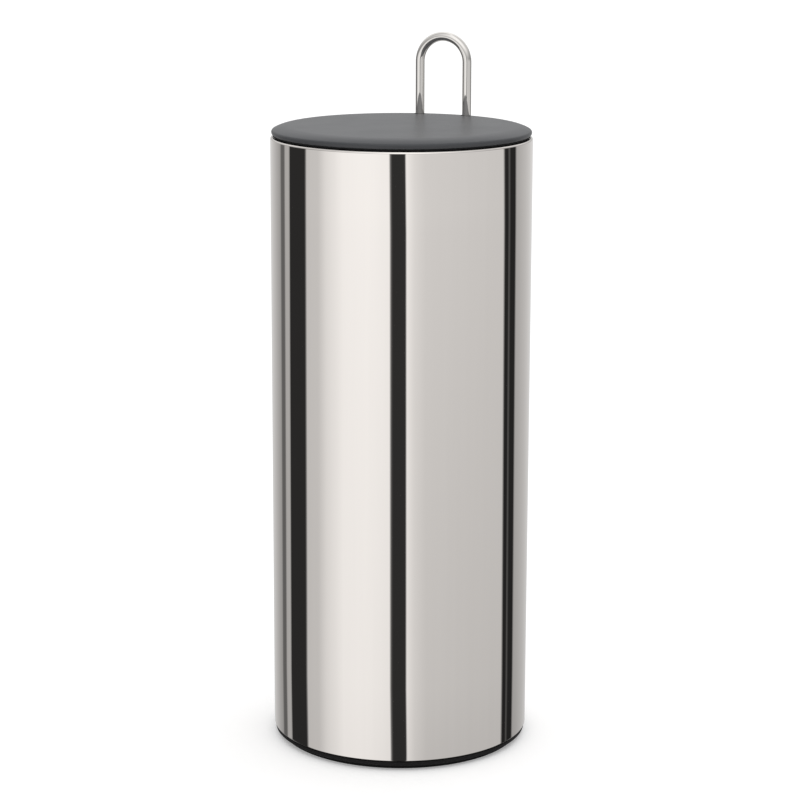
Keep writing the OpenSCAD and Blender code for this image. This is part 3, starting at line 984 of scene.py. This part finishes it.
def run_wire(x, stations):
    """Extrudes the selected end of the wire along a leg, through stations of (height, radius)."""
    z, r = stations[0]
    for z2, r2 in stations[1:]:
        bpy.ops.mesh.extrude_region_move(TRANSFORM_OT_translate={"value": (0, 0, (z2 - z) * MM)})
        bpy.ops.transform.resize(
            value=(r2 / r, r2 / r, 1), center_override=(x * MM, WIRE_BACK * MM, z2 * MM)
        )
        z, r = z2, r2


def make_wire_handle():
    """One bent steel wire: left leg, the loop above the lid and the right leg."""
    groove_low, groove_high = CLIP_Z - FIT, CLIP_Z + CLIP_T + FIT
    end_r = WIRE_R - 0.4
    stations = [
        (WIRE_END, end_r),
        (WIRE_END + 0.4, WIRE_R),
        (SOCKET_TOP, WIRE_R),
        ((SOCKET_TOP + groove_low) / 2, WIRE_R),
        (groove_low - 0.05, WIRE_R),
        (groove_low, WIRE_R - 0.05),
        (groove_low, WIRE_R - CLIP_GROOVE),
        (groove_high, WIRE_R - CLIP_GROOVE),
        (groove_high, WIRE_R - 0.05),
        (groove_high + 0.05, WIRE_R),
        (LID_TOP, WIRE_R),
        (BEND_Z, WIRE_R),
    ]
    clear_bench()
    bpy.ops.mesh.primitive_circle_add(
        vertices=BORE_STEPS, radius=end_r * MM, location=(-LEG_X * MM, WIRE_BACK * MM, WIRE_END * MM)
    )
    wire = bpy.context.object
    wire.name = "wire_blank"
    settle(wire)
    bpy.ops.object.mode_set(mode="EDIT")
    bpy.ops.mesh.select_all(action="SELECT")
    run_wire(-LEG_X, stations)
    bpy.ops.mesh.spin(
        steps=BEND_STEPS, angle=-math.pi, center=(0, WIRE_BACK * MM, BEND_Z * MM), axis=(0, 1, 0)
    )
    run_wire(LEG_X, stations[::-1])
    tapped = [(WIRE_END, end_r), (WIRE_END, TAP_R + 0.1)]
    tapped += [(WIRE_END + 0.1, TAP_R), (WIRE_END + TAP_DEPTH, TAP_R)]
    for x in (-LEG_X, LEG_X):
        pick(wire, lambda place: abs(place.z - WIRE_END * MM) < 1e-6 and place.x * x > 0)
        run_wire(x, tapped)
        bpy.ops.mesh.edge_face_add()
    bpy.ops.mesh.select_all(action="SELECT")
    bpy.ops.mesh.remove_doubles(threshold=MERGE)
    bpy.ops.mesh.normals_make_consistent(inside=False)
    object_mode()
    return finished(wire, "wire_handle", "carrier", polished_wire, angle=50)


def make_wire_clips():
    """The two thin spring collars whose mouths snap into the grooves of the wire."""
    top = CLIP_Z + CLIP_T
    section = [(CLIP_IN, CLIP_Z, 0.1), (CLIP_R, CLIP_Z, 0.15), (CLIP_R, top, 0.1), (CLIP_IN, top, 0.1)]
    clip = turned("clip_blank", softened(section, steps=3), BORE_STEPS)
    mouth = block("mouth_tool", (CLIP_MOUTH, CLIP_R + 1, 3), (0, -CLIP_R / 2 - 0.5, (CLIP_Z + top) / 2))
    middle = (CLIP_IN + CLIP_R) / 2
    hole = post("hole_tool", CLIP_HOLE_R, CLIP_Z - PAST, top + PAST, 24)
    cut(clip, [mouth] + copied_to(hole, [(-middle, 0), (middle, 0)]))
    for side, copy in zip(LEGS, copied_to(clip, LEGS.values())):
        finished(copy, side + "_wire_clip", "carrier", spring_steel, angle=40)


def make_wire_bushes():
    """The two soft flanged bushes that seal the wire in the lid."""
    low = BOSS_LOW - BUSH_FLANGE_T
    bore = WIRE_R + FIT / 2
    section = [
        (bore, low, 0.15),
        (BUSH_FLANGE_R, low, 0.3),
        (BUSH_FLANGE_R, BOSS_LOW, 0.2),
        (BUSH_R, BOSS_LOW, 0),
        (BUSH_R, BUSH_TOP, 0.2),
        (bore, BUSH_TOP, 0.2),
    ]
    bush = turned("bush_blank", softened(section), BORE_STEPS)
    for side, copy in zip(LEGS, copied_to(bush, LEGS.values())):
        finished(copy, side + "_wire_bush", "carrier", soft_rubber, angle=50)


def lid_underside(r):
    """Height of the lid's underside at a radius, which follows the crown of its top."""
    return CROWN_Z + math.sqrt((CROWN_R - LID_T) ** 2 - (r - LID_FLAT_R) ** 2)


def make_lid():
    """The round lid: flat top, rounded edge, locating ring, ribs, and holes for the wire."""
    turn = math.degrees(math.acos((LID_EDGE_R - LID_FLAT_R) / (CROWN_R - LID_EDGE)))
    hollow_r = LID_R - LID_SIDE_T
    ring_a, ring_b = LID_RIB_RING - LID_RIB_T / 2, LID_RIB_RING + LID_RIB_T / 2
    section = [(0, LID_TOP), (20, LID_TOP), (LID_FLAT_R - 8, LID_TOP)]
    section += arc(LID_FLAT_R, CROWN_Z, CROWN_R, 90, turn, 24)
    section += arc(LID_EDGE_R, LID_LOW + LID_EDGE, LID_EDGE, turn - 4, -90, 22)
    section += [(hollow_r + 0.2, LID_LOW), (hollow_r, LID_LOW + 0.2)]
    section += [(r, lid_underside(r)) for r in (hollow_r, LOCATE_OUT)]
    section += softened(
        [
            (LOCATE_OUT, LID_LOW, 0),
            (LOCATE_OUT, LINER_TOP, 0.3),
            (LOCATE_IN, LINER_TOP, 0.3),
            (LOCATE_IN, LID_LOW, 0),
        ],
        steps=3,
    )
    section += [(r, lid_underside(r)) for r in (LOCATE_IN, LOCATE_IN - 1.7, LID_FLAT_R)]
    section += [(ring_b, LID_UNDER), (ring_b, LID_RIB_LOW), (ring_a, LID_RIB_LOW), (ring_a, LID_UNDER)]
    section += [(LID_HUB, LID_UNDER), (LID_HUB, LID_RIB_LOW), (LID_HUB - LID_RIB_T, LID_RIB_LOW)]
    section += [(LID_HUB - LID_RIB_T, LID_UNDER), (0, LID_UNDER)]
    lid = turned("lid_blank", section, LID_STEPS)
    spans = ((LID_HUB - ROOT, ring_a + ROOT), (ring_b - ROOT, LOCATE_IN + ROOT))
    fuse(lid, ribs("lid_rib", LID_RIBS, spans, LID_RIB_LOW + 0.1, LID_UNDER + ROOT, LID_RIB_T))
    boss = post("boss_blank", SCREW_BOSS, LINER_TOP, LID_UNDER + ROOT, SCREW_STEPS)
    fuse(lid, copied_to(boss, LINER_SCREWS))
    collar = post("collar_blank", BUSH_BOSS, BOSS_LOW, LID_UNDER + ROOT)
    collars = gathered(copied_to(collar, LEGS.values()))
    keep(collars, [post("ring_gauge", LOCATE_OUT - 0.01, BOSS_LOW - PAST, LID_TOP, LID_STEPS)])
    fuse(lid, [collars])
    hole = [(0, LINER_TOP - PAST), (POCKET_R, LINER_TOP - PAST), (POCKET_R, BOSS_LOW), (BUSH_HOLE, BOSS_LOW)]
    hole += [(BUSH_HOLE, LID_TOP + PAST), (0, LID_TOP + PAST)]
    tools = copied_to(turned("hole_tool", hole, BORE_STEPS), LEGS.values())
    tools += copied_to(post("bore_tool", SCREW_R + FIT, LINER_TOP - PAST, BORE_TOP, 32), LINER_SCREWS)
    cut(lid, tools)
    return finished(lid, "lid", "carrier", satin_lid, angle=30)


def make_lid_seal():
    """The soft seal round the locating ring, whose flange lies between lid and rim."""
    section = [
        (SEAL_IN, LINER_TOP, 0.2),
        (SLEEVE_OUT, LINER_TOP, 0.5),
        (SLEEVE_OUT, SEAL_LOW, 0.3),
        (SEAL_OUT, SEAL_LOW, 0.25),
        (SEAL_OUT, LID_LOW, 0.1),
        (SEAL_IN, LID_LOW, 0),
    ]
    seal = turned("seal_blank", softened(section))
    return finished(seal, "lid_seal", "carrier", soft_rubber, angle=50)


def make_lid_liner():
    """The moulding that closes the lid from below, with a centring skirt, clip cups and screw seats."""
    skirt_low = LINER_LOW - LINER_SKIRT_H
    cup_low = LINER_LOW - CUP_H
    cup_r = POCKET_R + CUP_T
    stub_top = LINER_TOP - 0.2
    section = softened(
        [
            (0, LINER_TOP, 0),
            (LINER_R, LINER_TOP, 0.4),
            (LINER_R, skirt_low, 0.7),
            (LINER_R - LINER_SKIRT_T, skirt_low, 0.7),
            (LINER_R - LINER_SKIRT_T, LINER_LOW, 0.5),
            (30, LINER_LOW, 0),
            (0, LINER_LOW, 0),
        ]
    )
    liner = turned("liner_blank", section)
    cup = softened([(0, cup_low, 0), (cup_r, cup_low, 0.5), (cup_r, stub_top, 0), (0, stub_top, 0)])
    cups = gathered(copied_to(turned("cup_blank", cup, BORE_STEPS), LEGS.values()))
    keep(cups, [post("ring_gauge", LINER_R - 0.02, cup_low - PAST, LINER_TOP, RING_STEPS)])
    fuse(liner, [cups])
    seat = softened([(0, SEAT_LOW, 0), (SEAT_R, SEAT_LOW, 0.4), (SEAT_R, stub_top, 0), (0, stub_top, 0)])
    fuse(liner, copied_to(turned("seat_blank", seat, SCREW_STEPS), LINER_SCREWS))
    pocket = turned(
        "pocket_tool",
        [
            (0, cup_low - PAST),
            (WIRE_R + HOLE_GAP, cup_low - PAST),
            (WIRE_R + HOLE_GAP, cup_low + CUP_T),
            (POCKET_R, cup_low + CUP_T),
            (POCKET_R, LINER_TOP + PAST),
            (0, LINER_TOP + PAST),
        ],
        BORE_STEPS,
    )
    seat_bore = turned(
        "seat_tool",
        [
            (0, SEAT_LOW - PAST),
            (HEAD_D / 2 + HOLE_GAP, SEAT_LOW - PAST),
            (HEAD_D / 2 + HOLE_GAP, HEAD_TOP),
            (SCREW_R + HOLE_GAP, HEAD_TOP),
            (SCREW_R + HOLE_GAP, LINER_TOP + PAST),
            (0, LINER_TOP + PAST),
        ],
        SCREW_STEPS,
    )
    cut(liner, copied_to(pocket, LEGS.values()) + copied_to(seat_bore, LINER_SCREWS))
    return finished(liner, "lid_liner", "carrier", grey_moulding)


def make_liner_screws():
    screw = make_screw(HEAD_TOP - HEAD_H, HEAD_D, HEAD_H, SCREW_R, BORE_TOP - 0.6 - HEAD_TOP)
    three = gathered(copied_to(screw, LINER_SCREWS))
    return finished(three, "liner_screws", "carrier", zinc_steel, angle=30)


make_shell()
make_base()
make_foot_ring()
make_tray()
make_tray_screws()
make_tray_washers()
make_wire_handle()
make_wire_clips()
make_wire_bushes()
make_lid()
make_lid_seal()
make_lid_liner()
make_liner_screws()

# ---------------------------------------------------------------------------------------------
# Camera, at the photograph's viewing angle
# ---------------------------------------------------------------------------------------------
VIEW_AZIMUTH = 23.1
VIEW_DISTANCE = 1319.0
VIEW_HEIGHT = 482.6
VIEW_PITCH = 12.61
VIEW_PAN = 0.018
VIEW_ROLL = 0.18
VIEW_LENS = 111.56
VIEW_SENSOR = 36


def make_camera():
    clear_bench()
    azimuth = math.radians(VIEW_AZIMUTH)
    bpy.ops.object.camera_add(
        location=(
            VIEW_DISTANCE * MM * math.sin(azimuth),
            -VIEW_DISTANCE * MM * math.cos(azimuth),
            VIEW_HEIGHT * MM,
        ),
        rotation=(math.radians(90 - VIEW_PITCH), 0, azimuth + math.radians(VIEW_PAN)),
    )
    camera = bpy.context.object
    camera.rotation_euler.rotate_axis("Z", math.radians(VIEW_ROLL))
    camera.data.sensor_width = VIEW_SENSOR
    camera.data.lens = VIEW_LENS
    camera.data.clip_end = 100
    bpy.context.scene.camera = camera


make_camera()

# ---------------------------------------------------------------------------------------------
# Studio: white floor, soft light from above, and the softboxes and black flags that steel mirrors
# ---------------------------------------------------------------------------------------------
BLACK_FLAG = 0.024
SOFTBOX = 0.98
SIDE_WALL = 0.655
FILL = 0.42
OVERHEAD = 0.55 * math.pi
OVERHEAD_SPREAD = math.radians(80)
OVERHEAD_TILT = (math.radians(-8), math.radians(1), 0)
FLOOR_SIZE = 40
FLOOR_TONE = 0.86
FLOOR_GLOW = 0.30

# How the studio changes with height, in degrees above the horizon: the two heights, then the two levels.
WALL_FOOT = (-26.0, -7.0)
UNDER_FADE = (-80.0, -40.0, 0.8, 1.0)
CEILING_EDGE = (-2.0, 8.0)
CEILING_RISE = (6.0, 32.0, 0.52, 1.15)
# The floor's level in the mirror image, from the left of the camera to the right.
LOW_LEVEL = (-40.0, 30.0, 0.90, 0.80)
# How the walls lean: the lean straight ahead, its growth per degree to the right, and where it is.
LEAN = 0.12
LEAN_GROWTH = 0.0028
LEAN_MIDDLE = -13.8
LEAN_REACH = 12.0

# What stands round the object: (degrees to the right of the camera, brightness), in order.
STUDIO = [
    (-180, 0.80),
    (-150, 0.52),
    (-134, 0.34),
    (-132, 0.13),
    (-125.6, 0.12),
    (-124, 0.42),
    (-117.2, 0.45),
    (-115.4, BLACK_FLAG),
    (-93.2, BLACK_FLAG),
    (-91.8, 0.57),
    (-78, 0.60),
    (-69, 0.77),
    (-52, 0.95),
    (-30, SOFTBOX),
    (-8.7, 0.94),
    (-8.4, BLACK_FLAG * 1.6),
    (-6.0, BLACK_FLAG * 1.2),
    (3.0, BLACK_FLAG * 1.25),
    (5.25, BLACK_FLAG * 1.7),
    (5.55, 0.91),
    (12, 0.76),
    (22, 0.675),
    (45, SIDE_WALL),
    (103.4, 0.62),
    (104.5, BLACK_FLAG * 0.8),
    (109.8, BLACK_FLAG * 0.8),
    (111.5, 0.12),
    (113.2, BLACK_FLAG * 0.8),
    (121.2, BLACK_FLAG * 0.8),
    (123.6, 0.42),
    (142, 0.53),
    (180, 0.80),
]

# The soft ceiling, brightest in front of the object and behind it: (degrees to the right, brightness).
CEILING = [
    (-180, 1.0),
    (-130, 0.72),
    (-90, 0.45),
    (-50, 0.75),
    (-20, 1.0),
    (20, 1.0),
    (60, 0.7),
    (95, 0.5),
    (130, 0.7),
    (180, 1.0),
]


def surround(tree, stops_list, degrees_right):
    """The brightness of what stands round the object, as a ring of stops."""
    along = math_node(tree, "DIVIDE", math_node(tree, "ADD", degrees_right, 180.0), 360.0)
    ramp = add_node(tree, "ShaderNodeValToRGB", Fac=along)
    stops = ramp.color_ramp.elements
    while len(stops) > 1:
        stops.remove(stops[-1])
    for i, (degrees, level) in enumerate(stops_list):
        stop = stops[0] if i == 0 else stops.new((degrees + 180) / 360)
        stop.position = (degrees + 180) / 360
        stop.color = (level, level, level, 1)
    return ramp.outputs[0]


def mirrored_studio(tree, turned_by, height):
    """What the steel and the satin lid mirror: walls and flags, the floor below and the ceiling above."""
    above = math_node(tree, "SUBTRACT", height, LEAN_MIDDLE)
    above = math_node(tree, "MINIMUM", math_node(tree, "MAXIMUM", above, -LEAN_REACH), LEAN_REACH)
    lean = math_node(tree, "ADD", math_node(tree, "MULTIPLY", turned_by, LEAN_GROWTH), LEAN)
    leaning = math_node(tree, "ADD", turned_by, math_node(tree, "MULTIPLY", lean, above))
    walls = surround(tree, STUDIO, leaning)
    foot = ranged(tree, height, *WALL_FOOT, ranged(tree, turned_by, *LOW_LEVEL), 1.0)
    under = math_node(tree, "MULTIPLY", foot, ranged(tree, height, *UNDER_FADE))
    side = mixed(tree, 1.0, walls, under, "MULTIPLY")
    ceiling = surround(tree, CEILING, turned_by)
    top = mixed(tree, 1.0, ceiling, ranged(tree, height, *CEILING_RISE), "MULTIPLY")
    return mixed(tree, ranged(tree, height, *CEILING_EDGE, how="SMOOTHSTEP"), side, top)


def make_world():
    """White behind the object, a dim even fill, and the studio for what the object mirrors."""
    world = bpy.data.worlds.new("studio")
    bpy.context.scene.world = world
    world.use_nodes = True
    world.cycles.sampling_method = "NONE"
    tree = world.node_tree
    tree.nodes.clear()
    direction = add_node(tree, "ShaderNodeTexCoord").outputs["Generated"]
    parts = add_node(tree, "ShaderNodeSeparateXYZ", Vector=direction).outputs
    azimuth = math_node(tree, "ARCTAN2", parts[0], math_node(tree, "MULTIPLY", parts[1], -1.0))
    azimuth = math_node(tree, "MULTIPLY", azimuth, 180 / math.pi)
    height = math_node(tree, "MULTIPLY", math_node(tree, "ARCSINE", parts[2]), 180 / math.pi)
    turned_by = math_node(tree, "WRAP", math_node(tree, "SUBTRACT", azimuth, VIEW_AZIMUTH), 180.0, -180.0)
    paths = add_node(tree, "ShaderNodeLightPath").outputs
    fill = mixed(
        tree, paths["Is Glossy Ray"], (FILL, FILL, FILL, 1), mirrored_studio(tree, turned_by, height)
    )
    straight = math_node(tree, "MAXIMUM", paths["Is Camera Ray"], paths["Is Transmission Ray"])
    seen = mixed(tree, straight, fill, (1, 1, 1, 1))
    background = add_node(tree, "ShaderNodeBackground", Color=seen, Strength=1.0)
    out = add_node(tree, "ShaderNodeOutputWorld")
    feed(tree, out.inputs["Surface"], background.outputs[0])


def make_overhead():
    """One even, very soft light from above, that isn't mirrored in the steel."""
    clear_bench()
    bpy.ops.object.light_add(type="SUN", location=(0, 0, 2), rotation=OVERHEAD_TILT)
    lamp = bpy.context.object
    lamp.name = "overhead"
    lamp.data.angle = OVERHEAD_SPREAD
    lamp.data.energy = OVERHEAD
    lamp.visible_glossy = False


def make_floor():
    """A plain white floor that keeps the soft shadow under the foot ring."""
    clear_bench()
    bpy.ops.mesh.primitive_plane_add(size=FLOOR_SIZE, location=(0, 0, 0))
    floor = bpy.context.object
    floor.name = "floor"
    finish = bpy.data.materials.new("white_floor")
    finish.use_nodes = True
    tree = finish.node_tree
    tree.nodes.clear()
    paths = add_node(tree, "ShaderNodeLightPath").outputs
    glow = math_node(tree, "MULTIPLY", paths["Is Camera Ray"], FLOOR_GLOW)
    plain = add_node(tree, "ShaderNodeBsdfDiffuse", Color=(FLOOR_TONE, FLOOR_TONE, FLOOR_TONE, 1))
    light = add_node(tree, "ShaderNodeEmission", Color=(1, 1, 1, 1), Strength=glow)
    both = add_node(tree, "ShaderNodeAddShader")
    feed(tree, both.inputs[0], plain.outputs[0])
    feed(tree, both.inputs[1], light.outputs[0])
    out = add_node(tree, "ShaderNodeOutputMaterial")
    feed(tree, out.inputs["Surface"], both.outputs[0])
    floor.data.materials.append(finish)
    floor.visible_glossy = False


make_world()
make_overhead()
make_floor()

bpy.context.scene.view_settings.view_transform = "Standard"
